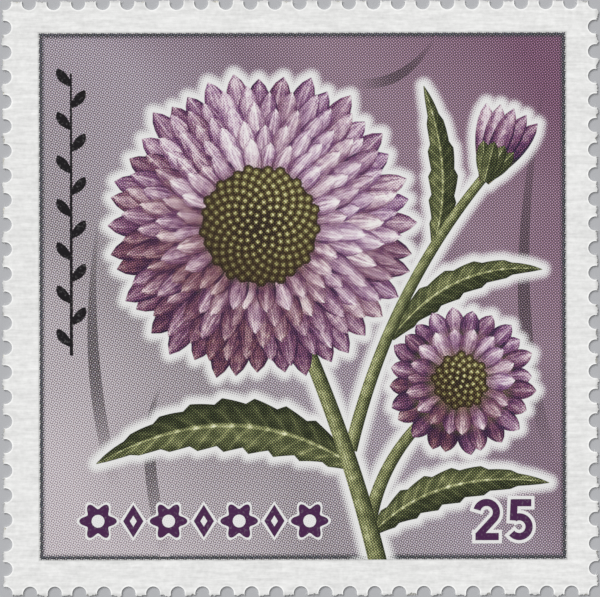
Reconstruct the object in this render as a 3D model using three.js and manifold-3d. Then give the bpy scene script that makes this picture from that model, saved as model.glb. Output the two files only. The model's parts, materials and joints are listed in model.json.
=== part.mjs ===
// A mint postage stamp, lying flat with its picture up: a perforated paper sheet, the gum film on its back,
// and the offset ink films on its face. The picture is a generic one: an open bloom, a smaller bloom and a
// bud on branching stems, with grass blades behind them.
// Millimetres. X runs along the picture's foot and Y up the picture. The origin is under the sheet's middle,
// on the gummed back, and Z points out of the printed face.
import * as THREE from "three";
import { mergeVertices } from "three/addons/utils/BufferGeometryUtils.js";
import Module from "manifold-3d";

// Sheet: comb perforation of gauge 13 1/3, which is 24 pitches to a 36 mm side
const PITCH = 1.5;
const PITCHES = 24;
const SHEET_HALF = (PITCH * PITCHES) / 2;
const HOLE_RADIUS = 0.433;
const TORN_TIP = 0.1; // how far the torn teeth reach past the row of holes
const GUM_THICKNESS = 0.015;
const PAPER_THICKNESS = 0.1;
const INK_THICKNESS = 0.005;
const PAPER_TOP = GUM_THICKNESS + PAPER_THICKNESS;

// Picture panel, printed a little off the sheet's centre
const PANEL_SIZE = 32.12;
const PANEL_X = 0.15;
const PANEL_Y = 0.11;
const PANEL_HALF = PANEL_SIZE / 2;
const FRAME_LINE = 0.2;

// Bare paper left round the plant, the figures and the ornaments
const PLANT_HALO = 0.5;
const FIGURE_HALO = 0.2;
const ORNAMENT_HALO = 0.16;

// Colours of the inks and of the sheet
const PAPER_WHITE = 0xe4e4e3;
const GUM_CREAM = 0xe2dfd0;
const GROUND_MAUVE = 0x97808f;
const FRAME_GREY = 0x3b3539;
const GRASS_GREY = 0x6a5a66;
const STEM_GREEN = 0x5a6636;
const LEAF_GREEN = 0x6f7a42;
const PETAL_DARK = 0x5f3f70;
const PETAL_MID = 0x8b6a99;
const PETAL_LIGHT = 0xc3a8cb;
const DISC_OLIVE = 0x9a8a3c;
const FIGURE_PURPLE = 0x4b2458;
const VINE_BLACK = 0x241d26;
const GUM_ROUGHNESS = 0.3;
const PAPER_ROUGHNESS = 0.75;
const INK_ROUGHNESS = 0.55;

const wasm = await Module();
wasm.setup();
const { Manifold, Mesh } = wasm;

function along(steps, rule) {
  return Array.from({ length: steps + 1 }, (_, i) => rule(i / steps));
}

// Closed geometry to solid and back
const SAME_POINT = 1e-4;

function toSolid(geometry) {
  const bare = geometry.clone();
  bare.deleteAttribute("normal");
  bare.deleteAttribute("uv");
  const merged = mergeVertices(bare, SAME_POINT);
  return new Manifold(
    new Mesh({
      numProp: 3,
      vertProperties: merged.attributes.position.array,
      triVerts: new Uint32Array(merged.index.array),
    }),
  );
}

function toGeometry(solid) {
  const { vertProperties, triVerts } = solid.getMesh();
  return new THREE.BufferGeometry()
    .setAttribute("position", new THREE.BufferAttribute(vertProperties, 3))
    .setIndex(new THREE.BufferAttribute(triVerts, 1));
}

// An outline extruded to a film that lies on the given level of ink.
const levelFloor = (level) => PAPER_TOP + (level - 1) * INK_THICKNESS;

function film(shape, level) {
  const settings = { depth: INK_THICKNESS, bevelEnabled: false };
  const geometry = new THREE.ExtrudeGeometry(shape, settings);
  return toSolid(geometry.translate(0, 0, levelFloor(level)));
}

// The same outline standing well above and below the ink, to cut with.
const CUTTER_REACH = 1;

function cutter(shape) {
  const settings = { depth: 2 * CUTTER_REACH, bevelEnabled: false };
  const geometry = new THREE.ExtrudeGeometry(shape, settings);
  return toSolid(geometry.translate(0, 0, PAPER_TOP - CUTTER_REACH));
}

const joined = (solids) => solids.reduce((sum, next) => sum.add(next));

// Sheet outline: arcs bitten out of all four sides and corners by the rows of holes
const BITE_STEPS = 5;

function arcPoints(centre, radius, from, to, steps) {
  return along(steps, (u) => {
    const angle = from + (to - from) * u;
    return new THREE.Vector2(Math.cos(angle), Math.sin(angle)).multiplyScalar(radius).add(centre);
  });
}

function perforatedOutline() {
  const points = [];
  const lean = Math.asin(TORN_TIP / HOLE_RADIUS);
  for (let side = 0; side < 4; side++) {
    const turn = (side * Math.PI) / 2;
    const way = new THREE.Vector2(Math.cos(turn), Math.sin(turn));
    const outward = new THREE.Vector2(Math.sin(turn), -Math.cos(turn));
    for (let hole = 1; hole <= PITCHES; hole++) {
      const centre = outward.clone().multiplyScalar(SHEET_HALF);
      centre.addScaledVector(way, hole * PITCH - SHEET_HALF);
      const start = turn + Math.PI + lean;
      const end = hole === PITCHES ? turn + Math.PI / 2 - lean : turn - lean;
      points.push(...arcPoints(centre, HOLE_RADIUS, start, end, BITE_STEPS));
    }
  }
  return new THREE.Shape(points);
}

function sheet(floor, thickness) {
  const settings = { depth: thickness, bevelEnabled: false };
  const geometry = new THREE.ExtrudeGeometry(perforatedOutline(), settings);
  return toSolid(geometry.translate(0, 0, floor));
}

// Ribbons: every stem, leaf, petal, blade and figure is a centreline with a half-width along it
const LEAST_MITRE = 0.3; // holds the corner of a sharp turn in

const inPanel = ([x, y]) => new THREE.Vector2(PANEL_X + x, PANEL_Y + y);

function ribbon(points, halfWidths) {
  const left = [];
  const right = [];
  points.forEach((point, i) => {
    const before = points[Math.max(i - 1, 0)];
    const after = points[Math.min(i + 1, points.length - 1)];
    const into = point.clone().sub(before).normalize();
    const away = after.clone().sub(point).normalize();
    const way = into.clone().add(away).normalize();
    const mitre = i === 0 || i === points.length - 1 ? 1 : 1 / Math.max(way.dot(away), LEAST_MITRE);
    const aside = new THREE.Vector2(-way.y, way.x).multiplyScalar(halfWidths[i] * mitre);
    left.push(point.clone().add(aside));
    right.unshift(point.clone().sub(aside));
  });
  return new THREE.Shape([...left, ...right]);
}

function bend([root, middle, tip], steps) {
  const curve = new THREE.QuadraticBezierCurve(inPanel(root), inPanel(middle), inPanel(tip));
  return curve.getPoints(steps);
}

// Half-width rules, for u from 0 at the root to 1 at the tip. A bulge is a half wave that begins part of the
// way up, is pushed towards its tip or root by the bias, and is blunter the smaller the last number.
const bulge = (begin, bias, blunt) => (u) =>
  Math.sin(Math.PI * (begin + (1 - begin) * u ** bias)) ** blunt;
const bladeBulge = bulge(0.3, 1, 1);
const petalBulge = bulge(0.12, 1.4, 0.7);
const leafBulge = bulge(0.06, 0.9, 0.9);
const POINTED = 0.02; // tips end in a fine point
const STEM_TAPER = 0.3;
const TOOTH_ROOT = 0.86;
const TOOTH_DEPTH = 0.28;

const stemRule = (width) => (u) => width * (1 - STEM_TAPER * u);
const bladeRule = (width) => (u) => width * bladeBulge(u) + POINTED;
const petalRule = (width) => (u) => width * petalBulge(u) + POINTED;
const leafRule = (width, teeth) => (u) =>
  width * leafBulge(u) * (TOOTH_ROOT + TOOTH_DEPTH * ((u * teeth) % 1)) + POINTED;

// A repeatable draw between -1 and 1 for each petal
const draw = (seed) => {
  const wave = Math.sin(seed * 127.1 + 11.7) * 43758.5453;
  return 2 * (wave - Math.floor(wave)) - 1;
};

// Blooms: rings of petals round a disc, each ring a film over the one outside it

// One petal's edge: its place across the ring's pitch, and its share of the way from cleft to tip
const PETAL_EDGE = [[-0.5, 0], [-0.3, 0.76], [0, 1], [0.3, 0.76]];
// How far petals stray from even spacing, as a share of the pitch, and their tips from an even reach
const SPACING_STRAY = 0.12;
const TIP_STRAY = 0.045;
const TIP_SEED = 50;

function ringOutline(centre, ring, grown) {
  const middle = inPanel(centre);
  const pitch = (2 * Math.PI) / ring.count;
  const points = [];
  for (let index = 0; index < ring.count; index++) {
    const turn = pitch * (index + ring.shift + SPACING_STRAY * draw(index + ring.seed));
    const tip = ring.reach * (1 + TIP_STRAY * draw(index + ring.seed + TIP_SEED));
    for (const [across, share] of PETAL_EDGE) {
      const angle = turn + across * pitch;
      const radius = ring.cleft + (tip - ring.cleft) * share + grown;
      points.push(new THREE.Vector2(Math.cos(angle), Math.sin(angle)).multiplyScalar(radius).add(middle));
    }
  }
  return new THREE.Shape(points);
}

const DISC_STEPS = 20;

function discOutline(centre, radius) {
  return new THREE.Shape(ringPoints(inPanel(centre), DISC_STEPS, () => [radius, radius]));
}

const MAIN_BLOOM = {
  centre: [-2.6, 4.3],
  rings: [
    { name: "outer", reach: 9.3, cleft: 7.9, count: 40, shift: 0, seed: 1, colour: PETAL_DARK },
    { name: "second", reach: 8.5, cleft: 7.2, count: 40, shift: 0.5, seed: 2, colour: PETAL_MID },
    { name: "third", reach: 7.5, cleft: 6.2, count: 36, shift: 0.2, seed: 3, colour: PETAL_MID },
    { name: "fourth", reach: 6.4, cleft: 5.2, count: 32, shift: 0.7, seed: 4, colour: PETAL_LIGHT },
    { name: "inner", reach: 5.3, cleft: 4.3, count: 28, shift: 0.4, seed: 5, colour: PETAL_LIGHT },
  ],
  disc: 3.5,
};
const SIDE_BLOOM = {
  centre: [9.6, -5.2],
  rings: [
    { name: "outer", reach: 4.5, cleft: 3.6, count: 24, shift: 0.3, seed: 6, colour: PETAL_DARK },
    { name: "inner", reach: 3.3, cleft: 2.5, count: 18, shift: 0.8, seed: 7, colour: PETAL_LIGHT },
  ],
  disc: 1.6,
};

// Bud: closed petals in a cup of sepals, both fanned out from its root. Reach is the share of its length.
const PETAL_STEPS = 4;
const BUD = {
  root: [11.1, 7.0],
  tip: [12.9, 11.4],
  petals: { count: 5, spread: 0.36, width: 0.62, reach: 1 },
  sepals: { count: 4, spread: 0.41, width: 0.46, reach: 0.52 },
};

function budFan({ count, spread, width, reach }, shapeToSolid, grown = 0) {
  const [root, tip] = [BUD.root, BUD.tip].map(inPanel);
  const axis = tip.sub(root);
  const length = axis.length() * reach + grown;
  const fins = Array.from({ length: count }, (_, i) => {
    const angle = axis.angle() + spread * (i / (count - 1) - 0.5) * 2;
    const way = new THREE.Vector2(Math.cos(angle), Math.sin(angle));
    const points = along(PETAL_STEPS, (u) => root.clone().addScaledVector(way, length * u));
    return shapeToSolid(ribbon(points, along(PETAL_STEPS, petalRule(width + grown))));
  });
  return joined(fins);
}

// Stems and leaves: root, the point that bends them, tip
const STEMS = [
  { path: [[4.6, -16.4], [2.6, -8.0], [-1.4, 0.6]], width: 0.56 },
  { path: [[4.1, -13.6], [5.0, -9.0], [9.2, -6.0]], width: 0.42 },
  { path: [[2.9, -9.4], [5.2, 0.2], [11.2, 7.4]], width: 0.4 },
];
const LEAVES = [
  { name: "left", path: [[3.2, -10.4], [-4.2, -5.4], [-12.6, -10.2]], width: 1.5, teeth: 9 },
  { name: "low_right", path: [[4.3, -14.4], [8.2, -10.4], [15.0, -11.4]], width: 1.0, teeth: 7 },
  { name: "right", path: [[5.4, -2.6], [9.0, 2.2], [14.6, 1.6]], width: 0.85, teeth: 6 },
  { name: "upright", path: [[8.0, 3.2], [9.4, 7.4], [7.4, 12.8]], width: 0.8, teeth: 6 },
];
const STEM_STEPS = 10;

const stemOutline = ({ path, width }, grown) =>
  ribbon(bend(path, STEM_STEPS), along(STEM_STEPS, (u) => stemRule(width)(u) + grown));

function leafOutline({ path, width, teeth }, grown) {
  const steps = grown ? STEM_STEPS : 2 * teeth;
  const rule = grown ? (u) => petalRule(width)(u) + grown : leafRule(width, teeth);
  return ribbon(bend(path, steps), along(steps, rule));
}

// Grass blades behind the plant
const GRASS = [
  { path: [[-11.4, -11.6], [-13.6, -4.0], [-12.4, 5.2]], width: 0.36 },
  { path: [[-8.4, -15.9], [-10.2, -8.0], [-8.6, -5.4]], width: 0.34 },
  { path: [[15.2, -9.8], [11.9, -0.6], [14.9, 13.6]], width: 0.38 },
  { path: [[3.4, 13.0], [6.2, 12.6], [8.2, 15.9]], width: 0.3 },
];

// Figures, each made of strokes that run into one another
const FIGURES_FOOT = [10.5, -14.9];
const FIGURE_PITCH = 2.05;
const FIGURE_STROKE = 0.22;
const BOWL_STEPS = 8;

function bowl(x, y, radius, from, to) {
  const [start, end] = [from, to].map(THREE.MathUtils.degToRad);
  return arcPoints(new THREE.Vector2(x, y), radius, start, end, BOWL_STEPS).map((point) => point.toArray());
}

const FIGURE_STROKES = {
  two: [
    [...bowl(0.68, 1.7, 0.6, 165, -30), [0.16, 0.26]],
    [[0, 0.22], [1.42, 0.22]],
  ],
  five: [
    [[0.18, 2.28], [1.36, 2.28]],
    [[0.32, 2.48], [0.26, 1.2]],
    bowl(0.62, 0.82, 0.6, 120, -140),
  ],
};

function figureSolid(strokes, place, grown, shapeToSolid) {
  const [left, foot] = FIGURES_FOOT;
  const runs = strokes.map((stroke) => {
    const points = stroke.map(([x, y]) => inPanel([left + place * FIGURE_PITCH + x, foot + y]));
    const last = points.length - 1;
    const lengthen = (end, next) => end.addScaledVector(end.clone().sub(next).normalize(), grown);
    lengthen(points[0], points[1]);
    lengthen(points[last], points[last - 1]);
    return ribbon(points, points.map(() => FIGURE_STROKE + grown));
  });
  return joined(runs.map((run) => shapeToSolid(run)));
}

// Ornament row: rosettes of six lobes, with a lozenge between each two
const ROW_START = [-12.5, -13.7];
const ROW_PITCH = 2.15;
const ROW_PLACES = 7;
const LOBES = 6;
const LOBE_DEPTH = 0.18; // share of the radius
const STEPS_A_LOBE = 5;
const ROSETTE_RADIUS = 1.15;
const LOZENGE = [0.62, 1.0];
const LOZENGE_MARGIN = 1.3; // a margin of 1 puts its corners out by this
const EYE_SHARE = 0.34;
const EYE_STEPS = 8;

function ringPoints(middle, count, radiusAt) {
  return Array.from({ length: count }, (_, i) => {
    const angle = (2 * Math.PI * i) / count;
    const [across, up] = radiusAt(angle);
    return new THREE.Vector2(middle.x + across * Math.cos(angle), middle.y + up * Math.sin(angle));
  });
}

function rosetteRing(middle, grown) {
  return ringPoints(middle, LOBES * STEPS_A_LOBE, (angle) => {
    const radius = ROSETTE_RADIUS * (1 - LOBE_DEPTH + LOBE_DEPTH * Math.cos(LOBES * angle)) + grown;
    return [radius, radius];
  });
}

function lozengeRing(middle, size, grown) {
  return ringPoints(middle, 4, () => LOZENGE.map((half) => half * size + LOZENGE_MARGIN * grown));
}

function ornamentOutline(place, grown) {
  const middle = inPanel([ROW_START[0] + place * ROW_PITCH, ROW_START[1]]);
  const rosette = place % 2 === 0;
  const outline = new THREE.Shape(rosette ? rosetteRing(middle, grown) : lozengeRing(middle, 1, grown));
  if (!grown) {
    const round = () => [ROSETTE_RADIUS * EYE_SHARE, ROSETTE_RADIUS * EYE_SHARE];
    const eye = rosette ? ringPoints(middle, EYE_STEPS, round) : lozengeRing(middle, EYE_SHARE, 0);
    outline.holes.push(new THREE.Path(eye));
  }
  return outline;
}

// Margin vine: a fine upright stem with leaflets on alternate sides, each reaching out and up
const VINE = { x: -14.1, low: -3.6, high: 13.6, width: 0.1, leaflets: 13 };
const LEAFLET = { out: 0.84, up: 0.96, width: 0.28, steps: 3 };

function vine(level) {
  const { x, low, high } = VINE;
  const stem = ribbon([inPanel([x, low]), inPanel([x, high])], [VINE.width, VINE.width]);
  const leaflets = Array.from({ length: VINE.leaflets }, (_, i) => {
    const root = inPanel([x, low + ((high - low) * (i + 0.5)) / VINE.leaflets]);
    const way = new THREE.Vector2(i % 2 ? LEAFLET.out : -LEAFLET.out, LEAFLET.up);
    const points = along(LEAFLET.steps, (u) => root.clone().addScaledVector(way, u));
    return film(ribbon(points, along(LEAFLET.steps, petalRule(LEAFLET.width))), level);
  });
  return joined([film(stem, level), ...leaflets]);
}

// Assembly

const stamp = new THREE.Group();

function addNode(name, solid, colour, roughness = INK_ROUGHNESS) {
  const material = new THREE.MeshStandardMaterial({ color: colour, roughness, metalness: 0 });
  const mesh = new THREE.Mesh(toGeometry(solid), material);
  mesh.name = name;
  stamp.add(mesh);
}

// What a cut leaves, largest body first, without scraps
const LEAST_FILM = 0.6 * INK_THICKNESS;

function bodiesOf(solid) {
  const bodies = solid.decompose().filter((body) => body.volume() > LEAST_FILM);
  return bodies.sort((a, b) => b.volume() - a.volume());
}

function addBodies(name, solid, colour) {
  bodiesOf(solid).forEach((body, i) => addNode(i ? `${name}_${i + 1}` : name, body, colour));
}

function square(half) {
  const corners = [[-half, -half], [half, -half], [half, half], [-half, half]];
  return new THREE.Shape(corners.map(inPanel));
}

const within = cutter(square(PANEL_HALF));
const grownBloom = (bloom) => cutter(ringOutline(bloom.centre, bloom.rings[0], PLANT_HALO));
const plantHalo = joined([
  grownBloom(MAIN_BLOOM),
  grownBloom(SIDE_BLOOM),
  budFan(BUD.petals, cutter, PLANT_HALO),
  ...STEMS.map((stem) => cutter(stemOutline(stem, PLANT_HALO))),
  ...LEAVES.map((leaf) => cutter(leafOutline(leaf, PLANT_HALO))),
]);
const figureNames = Object.keys(FIGURE_STROKES);
const markHalo = joined([
  ...figureNames.map((name, i) => figureSolid(FIGURE_STROKES[name], i, FIGURE_HALO, cutter)),
  ...Array.from({ length: ROW_PLACES }, (_, i) => cutter(ornamentOutline(i, ORNAMENT_HALO))),
]);

addNode("gum_film", sheet(0, GUM_THICKNESS), GUM_CREAM, GUM_ROUGHNESS);
addNode("paper_sheet", sheet(GUM_THICKNESS, PAPER_THICKNESS), PAPER_WHITE, PAPER_ROUGHNESS);

const panel = film(square(PANEL_HALF - FRAME_LINE), 1);
const frame = film(square(PANEL_HALF), 1).subtract(cutter(square(PANEL_HALF - FRAME_LINE)));
addBodies("ground_ink", panel.subtract(plantHalo).subtract(markHalo), GROUND_MAUVE);
addBodies("frame_line", frame.subtract(plantHalo), FRAME_GREY);

GRASS.forEach((blade, i) => {
  const outline = ribbon(bend(blade.path, STEM_STEPS), along(STEM_STEPS, bladeRule(blade.width)));
  addBodies(`grass_blade_${i + 1}`, film(outline, 2).subtract(plantHalo).subtract(markHalo), GRASS_GREY);
});

// The plant lies in one layer of ink, front things first, each cut clear of those in front of it
let taken = markHalo;
function addInFront(name, shapeToFilm, shapeToCutter, colour) {
  addBodies(name, shapeToFilm.intersect(within).subtract(taken), colour);
  taken = taken.add(shapeToCutter);
}

const level1 = (shape) => film(shape, 1);
for (const [name, bloom] of [["main", MAIN_BLOOM], ["side", SIDE_BLOOM]]) {
  bloom.rings.forEach((ring, i) => {
    const outline = ringOutline(bloom.centre, ring, 0);
    const solid = film(outline, i + 1);
    if (i === 0) {
      addInFront(`${name}_bloom_${ring.name}_petals`, solid, cutter(outline), ring.colour);
    } else {
      addNode(`${name}_bloom_${ring.name}_petals`, solid, ring.colour);
    }
  });
  const top = bloom.rings.length + 1;
  addNode(`${name}_bloom_disc`, film(discOutline(bloom.centre, bloom.disc), top), DISC_OLIVE);
}

addInFront("bud_petals", budFan(BUD.petals, level1), budFan(BUD.petals, cutter), PETAL_MID);
addNode("bud_sepals", budFan(BUD.sepals, (shape) => film(shape, 2)), LEAF_GREEN);

const allStems = (shapeToSolid) => joined(STEMS.map((stem) => shapeToSolid(stemOutline(stem, 0))));
addInFront("stems", allStems(level1), allStems(cutter), STEM_GREEN);
for (const leaf of LEAVES) {
  const outline = leafOutline(leaf, 0);
  addInFront(`leaf_${leaf.name}`, film(outline, 1), cutter(outline), LEAF_GREEN);
}

figureNames.forEach((name, i) => {
  addNode(`figure_${name}`, figureSolid(FIGURE_STROKES[name], i, 0, level1), FIGURE_PURPLE);
});
for (let i = 0; i < ROW_PLACES; i++) {
  const kind = i % 2 === 0 ? "rosette" : "lozenge";
  addNode(`${kind}_${Math.floor(i / 2) + 1}`, film(ornamentOutline(i, 0), 1), FIGURE_PURPLE);
}
addNode("margin_vine", vine(2).subtract(plantHalo), VINE_BLACK);

export default stamp;
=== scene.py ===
"""Looks of a mint postage stamp that lies flat with its picture up.

The sheet is gummed stamp paper, torn from its neighbours along rows of punched holes. The picture is printed
by offset in four process colours, which pass through one halftone screen; the figures, ornament rings and
vine are laid in solid spot inks.
"""
import json
import math
import random

import bmesh
import bpy
from bpy.props import FloatProperty, FloatVectorProperty, IntProperty, PointerProperty
from mathutils import Matrix, Vector, noise
from mathutils.bvhtree import BVHTree

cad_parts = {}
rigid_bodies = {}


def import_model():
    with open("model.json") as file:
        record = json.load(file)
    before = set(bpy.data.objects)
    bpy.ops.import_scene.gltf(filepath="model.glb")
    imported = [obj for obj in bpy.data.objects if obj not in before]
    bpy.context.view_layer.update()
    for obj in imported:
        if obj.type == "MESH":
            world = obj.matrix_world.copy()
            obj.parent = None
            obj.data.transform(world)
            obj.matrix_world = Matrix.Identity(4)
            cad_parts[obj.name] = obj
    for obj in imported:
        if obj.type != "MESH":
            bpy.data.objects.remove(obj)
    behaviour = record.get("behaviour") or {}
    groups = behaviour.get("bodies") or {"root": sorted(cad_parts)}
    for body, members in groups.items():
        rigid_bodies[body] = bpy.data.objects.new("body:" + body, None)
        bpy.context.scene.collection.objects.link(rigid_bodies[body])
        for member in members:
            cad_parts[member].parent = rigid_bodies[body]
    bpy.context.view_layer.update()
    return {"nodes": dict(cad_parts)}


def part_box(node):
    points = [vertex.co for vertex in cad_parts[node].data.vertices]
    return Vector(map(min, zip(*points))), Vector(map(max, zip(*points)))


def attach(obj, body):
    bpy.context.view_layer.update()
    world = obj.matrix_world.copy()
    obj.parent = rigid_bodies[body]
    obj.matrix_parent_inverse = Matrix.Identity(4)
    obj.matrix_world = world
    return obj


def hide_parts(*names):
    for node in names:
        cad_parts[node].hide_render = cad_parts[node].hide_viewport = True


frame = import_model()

bl_info = {
    "name": "Postage stamp",
    "version": (1, 0, 0),
    "blender": (4, 5, 0),
    "location": "3D View > Sidebar > Stamp",
    "description": "Makes the paper, gum and printed inks of a perforated postage stamp",
    "category": "Object",
}

MM = 0.001
MICRON = 0.000001

# The sheet and the printed panel, as the solids have them
PANEL_LOW, PANEL_HIGH = (Vector(corner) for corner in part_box("frame_line"))
PANEL = (PANEL_LOW + PANEL_HIGH) / 2
PANEL_HALF = (PANEL_HIGH.x - PANEL_LOW.x) / 2
INK_PASS = PANEL_HIGH.z - PANEL_LOW.z
GUM_BASE, GUM_TOP = (corner[2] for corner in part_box("gum_film"))
PAPER_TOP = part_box("paper_sheet")[1][2]

# Rows of holes
PITCHES = 24
PITCH = 1.5 * MM
ROW_HALF = PITCH * PITCHES / 2

# Tops of the printed pieces over the paper, so that front things cover those behind them
LIFTS = {
    "ground": INK_PASS,
    "grass": 7 * MICRON,
    "frame": 9 * MICRON,
    "vine": 10 * MICRON,
    "leaf": 10 * MICRON,
    "reserve": 12 * MICRON,
    "stem": 15 * MICRON,
    "mark": 15 * MICRON,
    "petal": 17 * MICRON,
    "bud": 17 * MICRON,
    "sepal": 23 * MICRON,
}
# Each reaches down past the one below it
FILM = 6 * MICRON
NEXT_RING = 4.6 * MICRON
NEXT_PETAL = 1.1 * MICRON
NEXT_STROKE = 0.6 * MICRON


def srgb(code):
    """A hex colour as linear red, green and blue."""
    parts = [int(code[i:i + 2], 16) / 255 for i in (0, 2, 4)]
    return tuple(((part + 0.055) / 1.055) ** 2.4 if part > 0.04045 else part / 12.92 for part in parts)


# Settings


def length_setting(name, description, default):
    return FloatProperty(name=name, description=description, default=default, unit="LENGTH")


def colour_setting(name, description, code):
    return FloatVectorProperty(name=name, description=description, default=srgb(code), subtype="COLOR")


class SheetSettings(bpy.types.PropertyGroup):
    hole_radius: length_setting("Hole radius", "Radius of the punched holes", 0.433 * MM)
    torn_reach: length_setting("Torn reach", "How far the torn teeth reach past the row of holes", 0.1 * MM)
    torn_jitter: length_setting("Torn jitter", "How unevenly the teeth are torn", 0.2 * MM)
    fibres: IntProperty(name="Fibres", description="Loose fibres on each torn tooth", default=26, min=0)
    paper: colour_setting("Paper", "Colour of the bare stamp paper", "E6E6E5")
    gum: colour_setting("Gum", "Colour of the gum on the back", "DEDACB")


class PrintSettings(bpy.types.PropertyGroup):
    dot_pitch: length_setting("Dot pitch", "Distance between halftone dots", 0.135 * MM)
    dot_share: FloatProperty(
        name="Dot contrast", description="How plainly the dots show", default=0.72, min=0, max=1,
        subtype="FACTOR")
    dot_colour: FloatProperty(
        name="Dot colour", description="How much of its own ink's colour each dot keeps", default=0.1, min=0,
        max=1, subtype="FACTOR")
    figure: colour_setting("Figure ink", "Colour of the figures and ornaments", "47204B")
    vine: colour_setting("Vine ink", "Colour of the fine vine", "120E13")
    frame_line: colour_setting("Frame line ink", "Colour of the line round the picture", "4C5055")


class StageSettings(bpy.types.PropertyGroup):
    floor: colour_setting("Floor", "Colour of the card under the stamp", "B2B3B6")
    sky: FloatProperty(
        name="Sky light", description="Strength of the even light from all sides", default=0.47)
    key: FloatProperty(
        name="Key light", description="Strength of the soft light from the upper left", default=2.4)
    lens: FloatProperty(
        name="Lens", description="Focal length of the copying camera", default=200, unit="CAMERA")


# Nodes


def add(tree, kind, *inputs, named=None, stops=(), **settings):
    """Adds a node with its settings and colour stops, and sets or links its inputs, in order or by name. A
    node that is given as an input is linked by the first output that it has switched on."""
    node = tree.nodes.new("ShaderNode" + kind)
    for key, value in settings.items():
        setattr(node, key, value)
    for _ in stops[2:]:
        node.color_ramp.elements.new(0.5)
    for index, (place, code) in enumerate(stops):
        node.color_ramp.elements[index].position = place
        node.color_ramp.elements[index].color = (*srgb(code), 1)
    in_order = zip([socket for socket in node.inputs if socket.enabled], inputs)
    by_name = [(node.inputs[key], value) for key, value in (named or {}).items()]
    for socket, value in [*in_order, *by_name]:
        if isinstance(value, bpy.types.Node):
            value = next(output for output in value.outputs if output.enabled)
        if isinstance(value, bpy.types.NodeSocket):
            tree.links.new(value, socket)
        elif socket.type == "RGBA":
            socket.default_value = (*value[:3], 1)
        else:
            socket.default_value = value
    return node


def total(tree, start, *terms):
    """The start plus each term's value times its amount."""
    for value, amount in terms:
        start = add(tree, "Math", value, amount, start, operation="MULTIPLY_ADD")
    return start


def new_material(name, surface):
    """A material with the shader that surface(tree) gives."""
    material = bpy.data.materials.new(name)
    material.use_nodes = True
    tree = material.node_tree
    tree.nodes.clear()
    add(tree, "OutputMaterial", surface(tree))
    return material


def object_place(tree):
    return add(tree, "TexCoord").outputs["Object"]


def bare_paper():
    return tuple(bpy.context.scene.stamp_sheet.paper)


def outward(tree, middle):
    """How far a point is from a square's middle, straight towards its nearest side."""
    apart = add(tree, "VectorMath", object_place(tree), tuple(middle), operation="SUBTRACT")
    axes = add(tree, "SeparateXYZ", add(tree, "VectorMath", apart, operation="ABSOLUTE")).outputs
    return add(tree, "Math", axes[0], axes[1], operation="MAXIMUM")


# Process printing

# How much of a grey is printed in black instead of in the three colours
BLACK_SHARE = 0.95
# How much each of red, green and blue light counts in a dot's depth
DEPTH_PARTS = (0.22, 0.68, 0.1)
# Turns of the inks' screens, in degrees
CYAN_TURN, MAGENTA_TURN, YELLOW_TURN, BLACK_TURN = 75, 45, 0, 15
# How softly a dot ends, as a share of full coverage
DOT_EDGE = 0.14
# Printed ink is matt with a faint gloss
INK_FINISH = {"Roughness": 0.6, "Specular IOR Level": 0.15}


def screen(tree, place, coverage, degrees, pitch):
    """How much light one screen of dots lets through: less as its coverage grows."""
    scale = (2 * math.pi / pitch,) * 3
    turned = add(tree, "Mapping", place, (0, 0, 0), (0, 0, math.radians(degrees)), scale)
    axes = add(tree, "SeparateXYZ", turned).outputs
    waves = [add(tree, "Math", axis, operation="COSINE") for axis in axes[:2]]
    threshold = total(tree, 0.5, (waves[0], 0.25), (waves[1], 0.25))
    over = add(tree, "Math", coverage, threshold, operation="SUBTRACT")
    return add(tree, "MapRange", over, -DOT_EDGE, DOT_EDGE, 1.0, 0.0)


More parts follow.
